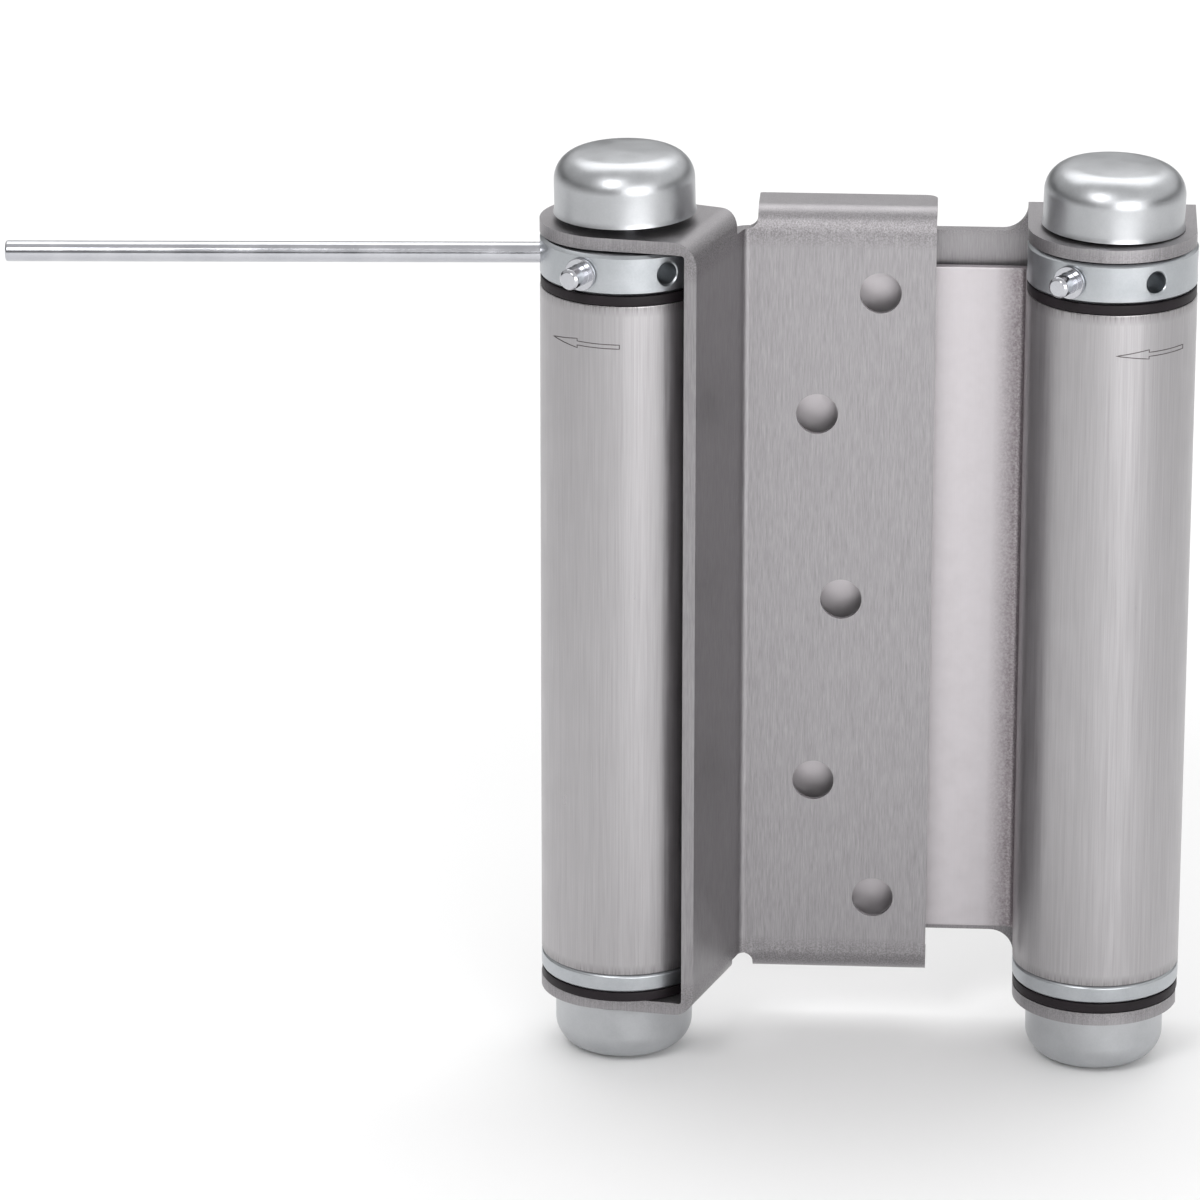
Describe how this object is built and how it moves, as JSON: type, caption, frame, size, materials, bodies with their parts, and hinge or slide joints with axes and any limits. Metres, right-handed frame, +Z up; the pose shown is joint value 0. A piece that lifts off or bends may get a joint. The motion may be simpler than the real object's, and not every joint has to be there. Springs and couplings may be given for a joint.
{
  "type": "double action spring hinge",
  "caption": "Double action spring hinge for a swinging cafe door: two folded steel flanges on a centre leaf rolled into two spring barrels, with a winding rod.",
  "frame": {"origin": "on the jamb flange's mounting face, midway between its two outer screw holes", "axes": "+Y out of the jamb flange's mounting face, away from the viewer; +Z up along the barrels; +X towards the jamb flange's barrel"},
  "size_m": [0.2277, 0.0396, 0.1841],
  "materials": {
    "flange_steel": "satin brushed, grain upright",
    "leaf_steel": "satin brushed barrels, plain rolled plate between them",
    "cap_zinc": "dull bluish zinc plate",
    "collar_zinc": "turned and zinc plated",
    "bright_steel": "bright drawn",
    "spring_steel": "oiled wire",
    "washer_black": "black nylon"
  },
  "bodies": {
    "jamb_leaf": {"right_flange": "flange_steel", "right_spindle": "bright_steel", "right_top_cap": "cap_zinc", "right_bottom_cap": "cap_zinc"},
    "middle_leaf": {"centre_leaf": "leaf_steel", "left_end_ring": "collar_zinc", "left_torsion_spring": "spring_steel", "left_upper_washer": "washer_black", "left_lower_washer": "washer_black", "right_end_ring": "collar_zinc", "right_torsion_spring": "spring_steel", "right_upper_washer": "washer_black", "right_lower_washer": "washer_black"},
    "door_leaf": {"left_flange": "flange_steel", "left_spindle": "bright_steel", "left_top_cap": "cap_zinc", "left_bottom_cap": "cap_zinc"},
    "left_collar": {"left_tension_collar": "collar_zinc"},
    "right_collar": {"right_tension_collar": "collar_zinc"},
    "left_pin": {"left_tension_pin": "bright_steel"},
    "right_pin": {"right_tension_pin": "bright_steel"},
    "rod": {"tension_rod": "bright_steel"}
  },
  "joints": [
    {"name": "jamb_swing", "type": "hinge", "parent": "jamb_leaf", "child": "middle_leaf", "pos_m": [0.0488, -0.0197, 0], "axis": [0, 0, 1], "range_deg": [0, 110], "stiffness_Nm_per_rad": 1.5},
    {"name": "door_swing", "type": "hinge", "parent": "middle_leaf", "child": "door_leaf", "pos_m": [-0.0442, -0.0197, 0], "axis": [0, 0, 1], "range_deg": [-110, 0], "stiffness_Nm_per_rad": 1.5},
    {"name": "left_collar_turn", "type": "hinge", "parent": "door_leaf", "child": "left_collar", "pos_m": [-0.0442, -0.0197, 0.0721], "axis": [0, 0, 1], "range_deg": [-120, 50]},
    {"name": "right_collar_turn", "type": "hinge", "parent": "jamb_leaf", "child": "right_collar", "pos_m": [0.0488, -0.0197, 0.0721], "axis": [0, 0, 1], "range_deg": [-80, 150]},
    {"name": "left_pin_pull", "type": "slide", "parent": "left_collar", "child": "left_pin", "axis": [-0.454, -0.891, 0], "range_m": [0, 0.01]},
    {"name": "right_pin_pull", "type": "slide", "parent": "right_collar", "child": "right_pin", "axis": [-0.4924, -0.8704, 0], "range_m": [0, 0.01]},
    {"name": "rod_pull", "type": "slide", "parent": "left_collar", "child": "rod", "axis": [-0.9986, -0.0523, 0], "range_m": [0, 0.01]}
  ]
}
